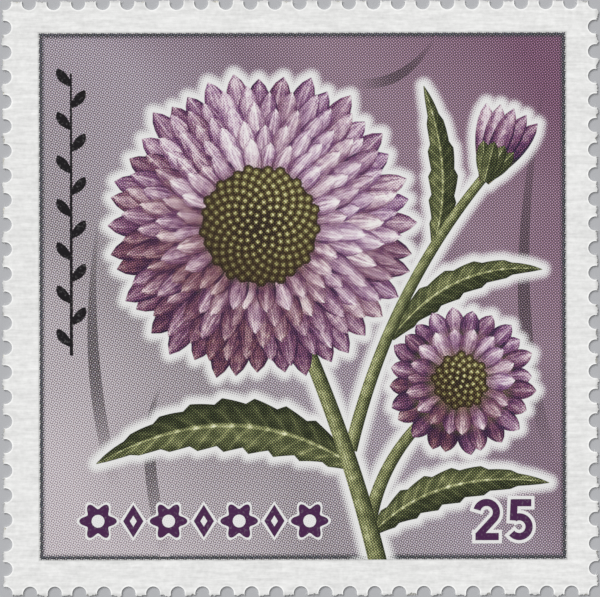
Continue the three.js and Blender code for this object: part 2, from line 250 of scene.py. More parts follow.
def process_halftone():
    """Four screens of dots, each at its own angle, whose mean is the colour that comes in."""
    name = "Process halftone"
    if name in bpy.data.node_groups:
        return bpy.data.node_groups[name]
    printing = bpy.context.scene.stamp_print
    tree = bpy.data.node_groups.new(name, "ShaderNodeTree")
    for way in ("INPUT", "OUTPUT"):
        tree.interface.new_socket("Colour", in_out=way, socket_type="NodeSocketColor")
    wanted = tree.nodes.new("NodeGroupInput").outputs[0]
    place = object_place(tree)
    paper = bare_paper()
    share = add(tree, "VectorMath", wanted, paper, operation="DIVIDE")
    share = add(tree, "VectorMath", share, (1, 1, 1), operation="MINIMUM")
    parts = add(tree, "SeparateXYZ", share).outputs
    brightest, darkest = (
        add(tree, "Math", add(tree, "Math", parts[0], parts[1], operation=pick), parts[2], operation=pick)
        for pick in ("MAXIMUM", "MINIMUM"))
    greyness = add(tree, "Math", darkest, brightest, operation="DIVIDE")
    # Strong colours get almost no black
    greyness = add(tree, "Math", greyness, 4.0, operation="POWER")
    black = total(tree, BLACK_SHARE, (brightest, -BLACK_SHARE))
    black = add(tree, "Math", black, greyness, operation="MULTIPLY")
    unshaded = total(tree, 1.0, (black, -1.0))
    lights = []
    for part, degrees in zip(parts, (CYAN_TURN, MAGENTA_TURN, YELLOW_TURN)):
        coverage = total(tree, 1.0, (add(tree, "Math", part, unshaded, operation="DIVIDE"), -1.0))
        lights.append(screen(tree, place, coverage, degrees, printing.dot_pitch))
    dots = add(tree, "CombineXYZ", *lights)
    past_black = screen(tree, place, black, BLACK_TURN, printing.dot_pitch)
    dots = add(tree, "VectorMath", dots, past_black, operation="SCALE")
    dots = add(tree, "VectorMath", dots, paper, operation="MULTIPLY")
    # Neighbouring dots spread into one another, so that they differ more in depth than in colour
    depths = [add(tree, "VectorMath", colour, DEPTH_PARTS, operation="DOT_PRODUCT")
              for colour in (dots, wanted)]
    depth = add(tree, "Math", *depths, operation="DIVIDE")
    blended = add(tree, "VectorMath", wanted, depth, operation="SCALE")
    blended = add(tree, "VectorMath", blended, paper, operation="MINIMUM")
    dots = add(tree, "Mix", 1 - printing.dot_colour, dots, blended, data_type="RGBA")
    out = tree.nodes.new("NodeGroupOutput")
    mixed = add(tree, "Mix", printing.dot_share, wanted, dots, data_type="RGBA")
    tree.links.new(mixed.outputs[2], out.inputs[0])
    return tree


def printed(name, paint):
    """Process offset ink, broken into dots. paint(tree) gives the colour before it is screened."""
    def surface(tree):
        dots = add(tree, "Group", paint(tree), node_tree=process_halftone())
        return add(tree, "BsdfPrincipled", dots, named=INK_FINISH)
    return new_material(name, surface)


def solid_ink(name, colour):
    """Spot offset ink laid full strength: even and dark, a little starved over the paper's hollows."""
    def surface(tree):
        # Starved specks about 0.08 mm across
        specks = add(tree, "TexNoise", object_place(tree), 1 / (0.16 * MM), 2.0)
        thin = add(tree, "MapRange", specks, 0.56, 0.95, 0.0, 0.2)
        shade = add(tree, "Mix", thin, tuple(colour), bare_paper(), data_type="RGBA")
        return add(tree, "BsdfPrincipled", shade, named=INK_FINISH)
    return new_material(name, surface)


# Sheet

BITE_STEPS = 22
TORN_CUTS = 9
# Loose fibres: how thick and how long they are, and how far along a tooth and past its row of holes they root
FIBRE_RADIUS = 0.01 * MM
FIBRE_LENGTHS = (0.08 * MM, 0.3 * MM)
FIBRE_ASIDE = (-0.31 * MM, 0.31 * MM)
FIBRE_ROOTS = (-0.08 * MM, 0.04 * MM)
# Where in the sheet's depth they root, how far they turn aside and droop, and how thin they end
FIBRE_DEPTHS = (0.15, 0.9)
FIBRE_TURN, FIBRE_DROOP = 0.75, 0.1
FIBRE_TIP = 0.3
# The gum tears shorter and more evenly than the paper, by these shares
GUM_REACH, GUM_JITTER = 0.7, 0.4


def hole_distance(tree, place):
    """Distance from the nearest hole's centre: the holes stand a pitch apart along all four sides."""
    x, y, _ = add(tree, "SeparateXYZ", place).outputs
    near = []
    for across, along in ((x, y), (y, x)):
        aside = total(tree, ROW_HALF, (add(tree, "Math", across, operation="ABSOLUTE"), -1.0))
        slip = add(tree, "Math", along, PITCH / 2, -PITCH / 2, operation="WRAP")
        near.append(add(tree, "VectorMath", add(tree, "CombineXYZ", aside, slip), operation="LENGTH"))
    return add(tree, "Math", *near, operation="MINIMUM")


def coated_paper(tree):
    """White coated stamp paper: matt, with a grain that runs across the sheet, and a painted highlight on the
    loosened rim where the pins pushed through, where the edge catches the light."""
    sheet = bpy.context.scene.stamp_sheet
    place = object_place(tree)
    # Grain: streaks about 1.5 mm long and 0.2 mm wide, over a mottle about 0.25 mm across
    stretched = add(tree, "Mapping", place, named={"Scale": (1 / (1.5 * MM), 1 / (0.2 * MM), 1 / (0.2 * MM))})
    streaks = add(tree, "TexNoise", stretched, 1.0, 3.0, 0.6)
    mottle = add(tree, "TexNoise", place, 1 / (0.25 * MM), 3.0)
    # Painted highlight: the paper is made lighter within about 0.12 mm of each hole's edge, where the light
    # catches it
    rim = add(tree, "MapRange", hole_distance(tree, place), sheet.hole_radius, sheet.hole_radius + 0.12 * MM,
              1.0, 0.0, interpolation_type="SMOOTHSTEP")
    tips = add(tree, "MapRange", outward(tree, (0, 0, 0)), ROW_HALF - 0.05 * MM, ROW_HALF + sheet.torn_reach,
               0.0, 1.0)
    # A little ink strays past the picture's edge
    strayed = add(tree, "MapRange", outward(tree, PANEL), PANEL_HALF, PANEL_HALF + 0.1 * MM, 0.35, 0.0)
    tone = total(tree, 0.63, (streaks, 0.46), (mottle, 0.28), (rim, 0.22), (tips, -0.16), (strayed, -1.0))
    colour = add(tree, "VectorMath", bare_paper(), tone, operation="SCALE")
    height = total(tree, mottle, (streaks, 0.5))
    bump = add(tree, "Bump", named={"Height": height, "Strength": 0.35, "Distance": 0.004 * MM})
    return add(tree, "BsdfPrincipled", colour,
               named={"Roughness": 0.8, "Specular IOR Level": 0.25, "Normal": bump})


def dextrin_gum(tree):
    """Dried dextrin gum: a thin cream film with a low gloss and a fine crackle."""
    place = object_place(tree)
    # Crackle cells about 0.6 mm across
    cells = add(tree, "TexVoronoi", place, 1 / (0.6 * MM), feature="DISTANCE_TO_EDGE")
    crack = add(tree, "MapRange", cells, 0.0, 0.06, 1.0, 0.0)
    pools = add(tree, "TexNoise", place, 1 / (4 * MM), 3.0)
    tone = total(tree, 0.94, (pools, 0.12), (crack, -0.05))
    colour = add(tree, "VectorMath", tuple(bpy.context.scene.stamp_sheet.gum), tone, operation="SCALE")
    bump = add(tree, "Bump", named={"Height": crack, "Strength": 0.3, "Distance": 0.003 * MM}, invert=True)
    return add(tree, "BsdfPrincipled", colour, named={"Roughness": 0.34, "IOR": 1.48, "Normal": bump})


def torn_edge(bm, top, reach, jitter, seed):
    """The sheet's edge as one loop: an arc spun round each hole, and an uneven torn stretch between each
    two."""
    radius = bpy.context.scene.stamp_sheet.hole_radius
    lean = math.asin(reach / radius)
    ends = []
    for side in range(4):
        turn = Matrix.Rotation(side * math.pi / 2, 3, "Z")
        for hole in range(1, PITCHES + 1):
            centre = turn @ Vector((hole * PITCH - ROW_HALF, -ROW_HALF, top))
            start = bm.verts.new(centre + turn @ Vector((-radius * math.cos(lean), -reach, 0)))
            sweep = 2 * lean + (math.pi / 2 if hole == PITCHES else math.pi)
            arc = bmesh.ops.spin(
                bm, geom=[start], cent=centre, axis=(0, 0, 1), angle=-sweep, steps=BITE_STEPS)
            ends.append((start, arc["geom_last"][0]))
    torn = [bm.edges.new((last, first)) for (_, last), (first, _) in zip(ends, ends[1:] + ends[:1])]
    # Slanted at about 0.6 mm and ragged at about 0.08 mm
    for vert in bmesh.ops.subdivide_edges(bm, edges=torn, cuts=TORN_CUTS)["geom_inner"]:
        x, y, _ = vert.co
        out = Vector((math.copysign(1, x), 0, 0) if abs(x) > abs(y) else (0, math.copysign(1, y), 0))
        place = vert.co / MM + Vector((0, 0, seed))
        vert.co += out * jitter * (noise.noise(place * 1.7) + 0.5 * noise.noise(place * 12))


def slab(bm, depth):
    """Fills the loop and pulls it down to its thickness."""
    face = bmesh.ops.contextual_create(bm, geom=bm.edges[:])["faces"][0]
    made = bmesh.ops.extrude_face_region(bm, geom=[face], use_keep_orig=True)["geom"]
    bmesh.ops.translate(bm, verts=points_of(made), vec=(0, 0, -depth))
    bmesh.ops.recalc_face_normals(bm, faces=bm.faces)


def add_fibres(bm, top, depth, count):
    """Loose tapering paper fibres that stand out of the torn teeth and stay off the surface below."""
    rng = random.Random(11)
    for side in range(4):
        turn = Matrix.Rotation(side * math.pi / 2, 4, "Z")
        for tooth in range(PITCHES):
            middle = (tooth + 0.5) * PITCH - ROW_HALF
            for _ in range(count):
                spot = Vector((middle + rng.uniform(*FIBRE_ASIDE), -ROW_HALF - rng.uniform(*FIBRE_ROOTS),
                               top - depth * rng.uniform(*FIBRE_DEPTHS)))
                length = rng.uniform(*FIBRE_LENGTHS)
                heading = Matrix.Rotation(rng.gauss(0, FIBRE_TURN), 4, "Z")
                droop = min(rng.gauss(0, FIBRE_DROOP), (spot.z - FIBRE_RADIUS) / length)
                level = Matrix.Rotation(math.pi / 2 + droop, 4, "X")
                middle_out = Matrix.Translation((0, 0, length / 2))
                bmesh.ops.create_cone(
                    bm, cap_ends=True, segments=3, radius1=FIBRE_RADIUS, radius2=FIBRE_TIP * FIBRE_RADIUS,
                    depth=length, matrix=turn @ Matrix.Translation(spot) @ heading @ level @ middle_out)


class STAMP_OT_make_sheet(bpy.types.Operator):
    """Makes the perforated paper sheet and the gum on its back"""
    bl_idname = "stamp.make_sheet"
    bl_label = "Paper and gum"

    def execute(self, context):
        sheet = context.scene.stamp_sheet
        depth = PAPER_TOP - GUM_TOP
        bm = bmesh.new()
        torn_edge(bm, PAPER_TOP, sheet.torn_reach, sheet.torn_jitter, seed=1)
        slab(bm, depth)
        add_fibres(bm, PAPER_TOP, depth, sheet.fibres)
        paper = new_material("Coated stamp paper", coated_paper)
        place_piece("torn_paper", bm, [paper], "paper_sheet")
        bm = bmesh.new()
        torn_edge(bm, GUM_TOP, GUM_REACH * sheet.torn_reach, GUM_JITTER * sheet.torn_jitter, seed=2)
        slab(bm, GUM_TOP - GUM_BASE)
        gum = new_material("Dried dextrin gum", dextrin_gum)
        place_piece("gum_coat", bm, [gum], "gum_film")
        return {"FINISHED"}


# Films of ink

ALONG_ACROSS = "along_across"
TINT = "tint"
HUE = "hue"
TOP = "top"
HALO = "halo"
NEAR_STEP = 0.01
# What is left of a piece's half width at its tip, in millimetres
LEAST_WIDTH = 0.02


def new_film():
    """An empty shape with the map and attributes that the paints read."""
    bm = bmesh.new()
    bm.loops.layers.uv.new(ALONG_ACROSS)
    for name in (TINT, HUE, TOP, HALO):
        bm.verts.layers.float.new(name)
    return bm


def in_panel(x, y):
    """A place in the picture, given in millimetres from the panel's middle."""
    return Vector((PANEL.x + x * MM, PANEL.y + y * MM))


def curve(root, middle, tip):
    """A line from root to tip that leans to the middle point, for u from 0 to 1."""
    a, b, c = in_panel(*root), in_panel(*middle), in_panel(*tip)
    return lambda u: a * (1 - u) ** 2 + b * 2 * u * (1 - u) + c * u ** 2


def ribbon(bm, line, half_width, lift, steps=10, lanes=2, tint=0.5, hue=0.5, material=0):
    """Lays a grid along a line, as wide to each side as half_width says in millimetres."""
    made = bmesh.ops.create_grid(bm, x_segments=steps, y_segments=lanes, size=0.5, calc_uvs=True)["verts"]
    for vert in made:
        u, aside = vert.co.x + 0.5, vert.co.y * 2
        way = (line(min(u + NEAR_STEP, 1)) - line(max(u - NEAR_STEP, 0))).normalized()
        spot = line(u) + Vector((-way.y, way.x)) * (half_width(u) * MM * aside)
        vert.co = (*spot, PAPER_TOP + lift)
        vert[bm.verts.layers.float[TINT]] = tint
        vert[bm.verts.layers.float[HUE]] = hue
    give_material(made, material)


def square(bm, cells, half, place):
    """A flat grid round a place."""
    bmesh.ops.create_grid(bm, x_segments=cells, y_segments=cells, size=half, matrix=Matrix.Translation(place))


def open_edges(bm):
    return [edge for edge in bm.edges if edge.is_boundary]


def points_of(made):
    return [item for item in made if isinstance(item, bmesh.types.BMVert)]


def give_material(verts, index):
    """Gives a material to the faces that meet at the points."""
    for face in {face for vert in verts for face in vert.link_faces}:
        face.material_index = index


def grow_rim(bm):
    """Draws faces out of the open edges, and gives their new points."""
    return points_of(bmesh.ops.extrude_edge_only(bm, edges=open_edges(bm))["geom"])


def face_up(bm):
    bm.normal_update()
    bmesh.ops.reverse_faces(bm, faces=[face for face in bm.faces if face.normal.z < 0])


def new_object(name, data):
    """Puts an object that shows the data into the scene."""
    made = bpy.data.objects.new(name, data)
    bpy.context.scene.collection.objects.link(made)
    return made


def shape_object(name, bm, materials):
    """Turns a shape into an object."""
    mesh = bpy.data.meshes.new(name)
    bm.to_mesh(mesh)
    bm.free()
    for material in materials:
        mesh.materials.append(material)
    return new_object(name, mesh)


def place_piece(name, bm, materials, node):
    """Puts a shape on the sheet as the piece that stands for a node, or for all the bodies it is cut into."""
    piece = shape_object(name, bm, materials)
    # The bodies of a node that is cut apart are numbered
    nodes = [body for body in frame["nodes"] if body == node or body.startswith(f"{node}_")]
    if not piece.data.polygons or not nodes:
        raise RuntimeError(f"{name} came out empty, or stands for nothing")
    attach(piece, "root")
    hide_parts(*nodes)


def place_film(name, bm, materials, node):
    """Gives an open film its thickness, downwards, and places it."""
    bm.normal_update()
    bmesh.ops.solidify(bm, geom=bm.faces[:], thickness=FILM)
    place_piece(name, bm, materials, node)


def draw(seed):
    """A repeatable draw between -1 and 1, the same as the solids' own."""
    wave = math.sin(seed * 127.1 + 11.7) * 43758.5453
    return 2 * (wave - math.floor(wave)) - 1


def swell(u, begin, end=1.0, bias=1.0, blunt=1.0):
    """How wide a piece is at u of its length: a stretch of a sine's arch, from begin to end."""
    return math.sin(math.pi * (begin + (end - begin) * u ** bias)) ** blunt


def petal_width(width):
    return lambda u: width * swell(u, 0.12, bias=1.4, blunt=0.7) + LEAST_WIDTH


# Blooms

# Rings of petals from back to front: how far their tips and the clefts between them reach, in millimetres
BLOOMS = {
    "main": {"florets": 190, "rings": [
        {"name": "outer", "reach": 9.3, "cleft": 7.9, "count": 40, "shift": 0, "seed": 1, "light": 0.2},
        {"name": "second", "reach": 8.5, "cleft": 7.2, "count": 40, "shift": 0.5, "seed": 2, "light": 0.3},
        {"name": "third", "reach": 7.5, "cleft": 6.2, "count": 36, "shift": 0.2, "seed": 3, "light": 0.34},
        {"name": "fourth", "reach": 6.4, "cleft": 5.2, "count": 32, "shift": 0.7, "seed": 4, "light": 0.4},
        {"name": "inner", "reach": 5.3, "cleft": 4.3, "count": 28, "shift": 0.4, "seed": 5, "light": 0.44},
    ]},
    "side": {"florets": 54, "rings": [
        {"name": "outer", "reach": 4.5, "cleft": 3.6, "count": 24, "shift": 0.3, "seed": 6, "light": 0.22},
        {"name": "inner", "reach": 3.3, "cleft": 2.5, "count": 18, "shift": 0.8, "seed": 7, "light": 0.38},
    ]},
}
# A petal's half width as a share of its place, and its root as a share of the cleft or of the disc's radius
PETAL_FILL = 0.62
ROOT_SHARE = 0.62
UNDER_DISC = 0.8
# How far petals stray from their ring's rule, and what each further draw adds to the seed
SPACING_STRAY = 0.12
TIP_STRAY, TIP_SEED = 0.045, 50
CURL_STRAY, CURL_SEED = 0.16, 90
TINT_STRAY, TINT_SEED = 0.24, 130
HUE_STRAY, HUE_SEED = 0.3, 170
# How much a petal that faces the picture's light gains in tint and loses in hue
LIT_TINT, LIT_HUE = 0.26, 0.35
# Which of four neighbours lies over which
PETAL_ORDER = (0, 2, 1, 3)
FLORET_HEIGHT = 2.5 * MICRON
# A floret's size at the middle of the disc and what it gains by the rim, where 1 is its share of the disc
FLORET_SIZE, FLORET_GAIN = 0.62, 0.78
FLORET_CORNERS = 7
FLORET_TIP = 0.15
# Where the light in the picture comes from: the upper right
PICTURE_LIGHT = math.radians(55)
PETAL_STOPS = [(0.0, "20162C"), (0.22, "492A4C"), (0.42, "804F71"), (0.62, "AC899C"), (0.8, "D2BBC3"),
               (1.0, "F5EEED")]
DISC_STOPS = [(0.0, "271D14"), (0.3, "483822"), (0.55, "7B7343"), (0.78, "ADAB76"), (1.0, "DEDDBC")]


def attribute(tree, name):
    return add(tree, "Attribute", attribute_name=name).outputs["Fac"]


def along_and_across(tree):
    """The place on a ribbon: 0 to 1 from root to tip, and 0 to 1 from its right edge to its left."""
    return add(tree, "SeparateXYZ", add(tree, "UVMap", uv_map=ALONG_ACROSS)).outputs[:2]


def petal_paint(light, growth):
    """Petals dark and olive at the root and paler to the tip, with fine veins, flecks and a lit ridge. Their
    shadows are bluer than their lights."""
    def paint(tree):
        u, v = along_and_across(tree)
        grown = add(tree, "Math", u, 1.6, operation="POWER")
        # Five veins and one ridge across the petal
        veins = add(tree, "Math", total(tree, 0, (v, 10 * math.pi)), operation="COSINE")
        ridge = add(tree, "Math", total(tree, 0, (v, math.pi)), operation="SINE")
        # Streaks about 0.15 mm wide and 1 mm long, different on each petal
        lengthwise = [total(tree, 0, term) for term in ((u, 2.5), (v, 8), (attribute(tree, HUE), 90))]
        streaks = add(tree, "TexNoise", add(tree, "CombineXYZ", *lengthwise), 1.0, 2.0)
        flecks = add(tree, "TexNoise", object_place(tree), 1 / (0.28 * MM), 3.0)
        value = total(tree, light - 1.05, (grown, growth), (attribute(tree, TINT), 0.5), (veins, 0.03),
                      (ridge, 0.36), (flecks, 0.45), (streaks, 0.6))
        hue = total(tree, 0.39, (attribute(tree, HUE), 0.1), (flecks, 0.11))
        colour = add(tree, "ValToRGB", value, stops=PETAL_STOPS)
        colour = add(tree, "HueSaturation", hue, named={"Color": colour})
        root = add(tree, "MapRange", u, 0.1, 0.5, 0.5, 0.0)
        return add(tree, "Mix", root, colour, srgb("8A7F48"), data_type="RGBA")
    return paint


def disc_paint(tree):
    """Disc florets pale at each top, and dark in the gaps between them."""
    value = total(tree, -0.12, (attribute(tree, TOP), 0.72), (attribute(tree, TINT), 0.4))
    return add(tree, "ValToRGB", value, stops=DISC_STOPS)


def disc_box(bloom):
    """The bloom's middle and its disc's radius, from the frame."""
    low, high = (Vector(corner).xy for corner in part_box(f"{bloom}_bloom_disc"))
    return (low + high) / 2, (high.x - low.x) / 2


def petal_ring(bloom, sizes, level):
    """One ring of petals, each over or under its neighbour, curling a little to one side."""
    middle, disc = disc_box(bloom)
    bm = new_film()
    pitch = 2 * math.pi / sizes["count"]
    root = min(ROOT_SHARE * sizes["cleft"], UNDER_DISC * disc / MM if sizes["name"] == "inner" else math.inf)
    width = PETAL_FILL * pitch * sizes["cleft"]
    for index in range(sizes["count"]):
        seed = index + sizes["seed"]
        turn = pitch * (index + sizes["shift"] + SPACING_STRAY * draw(seed))
        tip = sizes["reach"] * (1 + TIP_STRAY * draw(seed + TIP_SEED))
        curl = CURL_STRAY * pitch * tip * draw(seed + CURL_SEED)
        way = Vector((math.cos(turn), math.sin(turn)))
        aside = Vector((-way.y, way.x))

        def line(u):
            return middle + (way * (root + (tip - root) * u) + aside * (curl * u * u)) * MM

        facing = math.cos(turn - PICTURE_LIGHT)
        lift = LIFTS["petal"] + level * NEXT_RING + PETAL_ORDER[index % 4] * NEXT_PETAL
        ribbon(bm, line, petal_width(width), lift,
               tint=0.5 + LIT_TINT * facing + TINT_STRAY * draw(seed + TINT_SEED),
               hue=0.5 - LIT_HUE * facing + HUE_STRAY * draw(seed + HUE_SEED))
    return bm


def disc_shape(bloom, level, florets):
    """A dark bed with florets packed over it in a sunflower's spiral, smallest at the middle."""
    middle, radius = disc_box(bloom)
    bm = new_film()
    base = PAPER_TOP + LIFTS["petal"] + level * NEXT_RING
    bmesh.ops.create_cone(bm, cap_ends=True, segments=64, radius1=radius, radius2=radius, depth=FILM,
                          matrix=Matrix.Translation((*middle, base - FILM / 2)))
    golden = math.pi * (3 - math.sqrt(5))
    rng = random.Random(3)
    for index in range(florets):
        share = math.sqrt((index + 0.5) / florets)
        angle = index * golden
        across, up = radius * share * math.cos(angle), radius * share * math.sin(angle)
        spot = Vector((middle.x + across, middle.y + up, base + FLORET_HEIGHT / 2))
        size = radius * (FLORET_SIZE + FLORET_GAIN * share) / math.sqrt(florets)
        made = bmesh.ops.create_cone(
            bm, cap_ends=True, segments=FLORET_CORNERS, radius1=size, radius2=FLORET_TIP * size,
            depth=FLORET_HEIGHT, matrix=Matrix.Translation(spot))["verts"]
        # Darker to the rim, and paler on the side of the picture's light
        tone = 0.9 - 0.75 * share ** 1.5 + 0.3 * share * math.cos(angle - PICTURE_LIGHT)
        for vert in made:
            vert[bm.verts.layers.float[TOP]] = 1.0 if vert.co.z > spot.z else 0.0
            vert[bm.verts.layers.float[TINT]] = tone + rng.uniform(-0.15, 0.15)
    return bm


class STAMP_OT_make_blooms(bpy.types.Operator):
    """Makes both open blooms: their rings of petals and their discs"""
    bl_idname = "stamp.make_blooms"
    bl_label = "Blooms"

    def execute(self, context):
        disc = printed("Offset ink, olive and brown", disc_paint)
        for bloom, parts in BLOOMS.items():
            for level, sizes in enumerate(parts["rings"]):
                name = f"{bloom}_bloom_{sizes['name']}_petals"
                ink = printed(f"Offset ink, {bloom} {sizes['name']} petals",
                              petal_paint(sizes["light"], growth=0.42))
                bm = petal_ring(bloom, sizes, level)
                place_film(f"{name}_print", bm, [ink], name)
            name = f"{bloom}_bloom_disc"
            bm = disc_shape(bloom, len(parts["rings"]), parts["florets"])
            place_piece(f"{name}_print", bm, [disc], name)
        return {"FINISHED"}


# Bud, stems and leaves

BUD = {
    "root": (11.1, 7.0),
    "tip": (12.9, 11.4),
    "petals": {"count": 5, "spread": 0.36, "width": 0.62, "reach": 1},
    "sepals": {"count": 4, "spread": 0.414, "width": 0.465, "reach": 0.52},
}
STEMS = [
    {"path": ((4.6, -16.4), (2.6, -8.0), (-1.4, 0.6)), "width": 0.56},
    {"path": ((4.1, -13.6), (5.0, -9.0), (9.2, -6.0)), "width": 0.42},
    {"path": ((2.9, -9.4), (5.2, 0.2), (11.2, 7.4)), "width": 0.4},
]
STEM_TAPER = 0.3
LEAVES = [
    {"name": "left", "path": ((3.2, -10.4), (-4.2, -5.4), (-12.6, -10.2)), "width": 1.5, "teeth": 9},
    {"name": "low_right", "path": ((4.3, -14.4), (8.2, -10.4), (15.0, -11.4)), "width": 1.0, "teeth": 7},
    {"name": "right", "path": ((5.4, -2.6), (9.0, 2.2), (14.6, 1.6)), "width": 0.85, "teeth": 6},
    {"name": "upright", "path": ((8.0, 3.2), (9.4, 7.4), (7.4, 12.8)), "width": 0.8, "teeth": 6},
]
# How far each tooth has risen from its cleft, and where on its length it stands highest
TOOTH_ROOT, TOOTH_DEPTH, TOOTH_RISE = 0.88, 0.24, 0.75
GREEN_STOPS = [(0.0, "14160E"), (0.25, "2F351E"), (0.5, "5E6440"), (0.72, "939768"), (0.88, "C5C7A0"),
               (1.0, "ECEEDB")]


def leaf_paint(tree):
    """Leaves with a pale midrib, side veins that lean to the tip, and one half in the light."""
    u, v = along_and_across(tree)
    out = add(tree, "Math", add(tree, "Math", v, 0.5, operation="SUBTRACT"), operation="ABSOLUTE")
    rib = add(tree, "MapRange", out, 0.02, 0.07, 1.0, 0.0, interpolation_type="SMOOTHSTEP")
    sweep = total(tree, 0.0, (u, 90.0), (out, -16.0))
    veins = total(tree, 0.5, (add(tree, "Math", sweep, operation="COSINE"), 0.5))
    veins = add(tree, "Math", veins, 5.0, operation="POWER")
    lit = add(tree, "MapRange", v, 0.46, 0.54)
    rim = add(tree, "MapRange", out, 0.34, 0.5)
    blotches = add(tree, "TexNoise", object_place(tree), 1 / (0.7 * MM), 4.0)
    value = total(tree, 0.03, (veins, 0.14), (rib, 0.28), (lit, 0.2), (rim, -0.2), (blotches, 0.56))
    return add(tree, "ValToRGB", value, stops=GREEN_STOPS)


def stem_paint(tree):
    """Round stems, lit along their right, with lengthwise grooves."""
    v = along_and_across(tree)[1]
    lit = add(tree, "Math", total(tree, 3.6, (v, -2.9)), operation="SINE")
    grooves = add(tree, "Math", total(tree, 0, (v, 12 * math.pi)), operation="COSINE")
    grain = add(tree, "TexNoise", object_place(tree), 1 / (0.45 * MM), 4.0)
    value = total(tree, 0.15, (lit, 0.3), (grooves, 0.06), (grain, 0.5))
    return add(tree, "ValToRGB", value, stops=GREEN_STOPS)


def leaf_width(width, teeth):
    """Teeth that rise slowly and drop quickly towards the tip."""
    def rule(u):
        rise = u * teeth % 1
        tooth = TOOTH_ROOT + TOOTH_DEPTH * min(rise / TOOTH_RISE, (1 - rise) / (1 - TOOTH_RISE))
        return width * swell(u, 0.06, bias=0.9, blunt=0.9) * tooth + LEAST_WIDTH
    return rule


def fan(fins, lift):
    """Fins from the bud's root, the middle ones in front."""
    bm = new_film()
    root, tip = Vector(BUD["root"]), Vector(BUD["tip"])
    axis = (tip - root) * fins["reach"]
    for index in range(fins["count"]):
        share = 2 * index / (fins["count"] - 1) - 1
        way = Matrix.Rotation(fins["spread"] * share, 2) @ axis
        ribbon(bm, lambda u: in_panel(*(root + way * u)), petal_width(fins["width"]),
               lift + NEXT_PETAL * (1 - abs(share)) * fins["count"] / 2 + 0.2 * NEXT_PETAL * share,
               tint=0.55 + 0.3 * share, hue=0.4)
    return bm


class STAMP_OT_make_bud(bpy.types.Operator):
    """Makes the closed bud and the sepals that hold it"""
    bl_idname = "stamp.make_bud"
    bl_label = "Bud"

    def execute(self, context):
        petals = printed("Offset ink, bud petals", petal_paint(0.3, growth=0.4))
        place_film("bud_print", fan(BUD["petals"], LIFTS["bud"]), [petals], "bud_petals")
        sepals = printed("Offset ink, sepals", leaf_paint)
        place_film("bud_sepals_print", fan(BUD["sepals"], LIFTS["sepal"]), [sepals], "bud_sepals")
        return {"FINISHED"}


class STAMP_OT_make_leaves(bpy.types.Operator):
    """Makes the stems and the toothed leaves"""
    bl_idname = "stamp.make_leaves"
    bl_label = "Stems and leaves"

    def execute(self, context):
        bm = new_film()
        for index, stem in enumerate(STEMS):
            ribbon(bm, curve(*stem["path"]), lambda u: stem["width"] * (1 - STEM_TAPER * u),
                   LIFTS["stem"] - index * NEXT_PETAL, steps=60, lanes=6)
        bmesh.ops.bisect_plane(bm, geom=bm.verts[:] + bm.edges[:] + bm.faces[:], plane_co=PANEL_LOW,
                               plane_no=(0, -1, 0), clear_outer=True)
        ink = printed("Offset ink, stems", stem_paint)
        place_film("stems_print", bm, [ink], "stems")
        ink = printed("Offset ink, leaves", leaf_paint)
        for leaf in LEAVES:
            bm = new_film()
            ribbon(bm, curve(*leaf["path"]), leaf_width(leaf["width"], leaf["teeth"]), LIFTS["leaf"],
                   steps=12 * leaf["teeth"], lanes=8)
            name = f"leaf_{leaf['name']}"
            place_film(f"{name}_print", bm, [ink], name)
        return {"FINISHED"}


# Ground, frame line and grass

GROUND_CELLS = 260
FRAME_LINE = 0.2 * MM
FRAME_CUTS = 40
HALO_NEAR = 0.1 * MM
HALO_FAR = 0.72 * MM
GRASS = [
    {"path": ((-11.4, -11.6), (-13.6, -4.0), (-12.4, 5.2)), "width": 0.36},
    {"path": ((-8.4, -15.9), (-10.2, -8.0), (-8.6, -5.4)), "width": 0.34},
    {"path": ((15.2, -9.8), (11.9, -0.6), (14.9, 13.6)), "width": 0.38},
    {"path": ((3.4, 13.0), (6.2, 12.6), (8.2, 15.9)), "width": 0.3},
]
GROUND_STOPS = [(0.04, "B5ABB1"), (0.12, "A9A0A6"), (0.29, "938B91"), (0.47, "9A8F9A"), (0.65, "8B7686"),
                (0.78, "957D8D"), (1.0, "835E77")]


def ground_colour(tree):
    """Grey mauve at the lower left, running to deep purple at the upper right."""
    place = object_place(tree)
    x, y, _ = add(tree, "SeparateXYZ", place).outputs
    clouds = add(tree, "TexNoise", place, 1 / (9 * MM), 1.0)
    run = total(tree, 0.4, (x, 0.32 / PANEL_HALF), (y, 0.25 / PANEL_HALF), (clouds, 0.2))
    return add(tree, "ValToRGB", run, stops=GROUND_STOPS)


def bare_near_plant(tree, colour):
    """The colour, let go to bare paper round the plant."""
    return add(tree, "Mix", attribute(tree, HALO), colour, bare_paper(), data_type="RGBA")


def ground_paint(tree):
    """The ground, darkening to its edge."""
    fade = add(tree, "MapRange", outward(tree, PANEL), PANEL_HALF - 0.45 * MM, PANEL_HALF - 0.15 * MM,
               0.0, 0.75, interpolation_type="SMOOTHSTEP")
    line = tuple(bpy.context.scene.stamp_print.frame_line)
    return bare_near_plant(tree, add(tree, "Mix", fade, ground_colour(tree), line, data_type="RGBA"))


def grass_paint(tree):
    """Blades darker than the ground along their middle, and lost in it at both ends."""
    arch = add(tree, "Math", total(tree, 0, (along_and_across(tree)[0], math.pi)), operation="SINE")
    fade = total(tree, 0, (arch, 0.62))
    blade = add(tree, "Mix", fade, ground_colour(tree), srgb("3A3538"), data_type="RGBA")
    return bare_near_plant(tree, blade)


def frame_line_paint(tree):
    """A rough dark line, paler where the paper took less ink, that ends outwards in single dots."""
    patches = add(tree, "TexNoise", object_place(tree), 1 / (0.3 * MM), 2.0)
    thin = add(tree, "MapRange", patches, 0.3, 0.8, 0.0, 0.5)
    line = tuple(bpy.context.scene.stamp_print.frame_line)
    line = add(tree, "Mix", thin, line, srgb("7A7077"), data_type="RGBA")
    edge = add(tree, "MapRange", outward(tree, PANEL), PANEL_HALF - 0.06 * MM, PANEL_HALF, 0.0, 0.6)
    return bare_near_plant(tree, add(tree, "Mix", edge, line, bare_paper(), data_type="RGBA"))


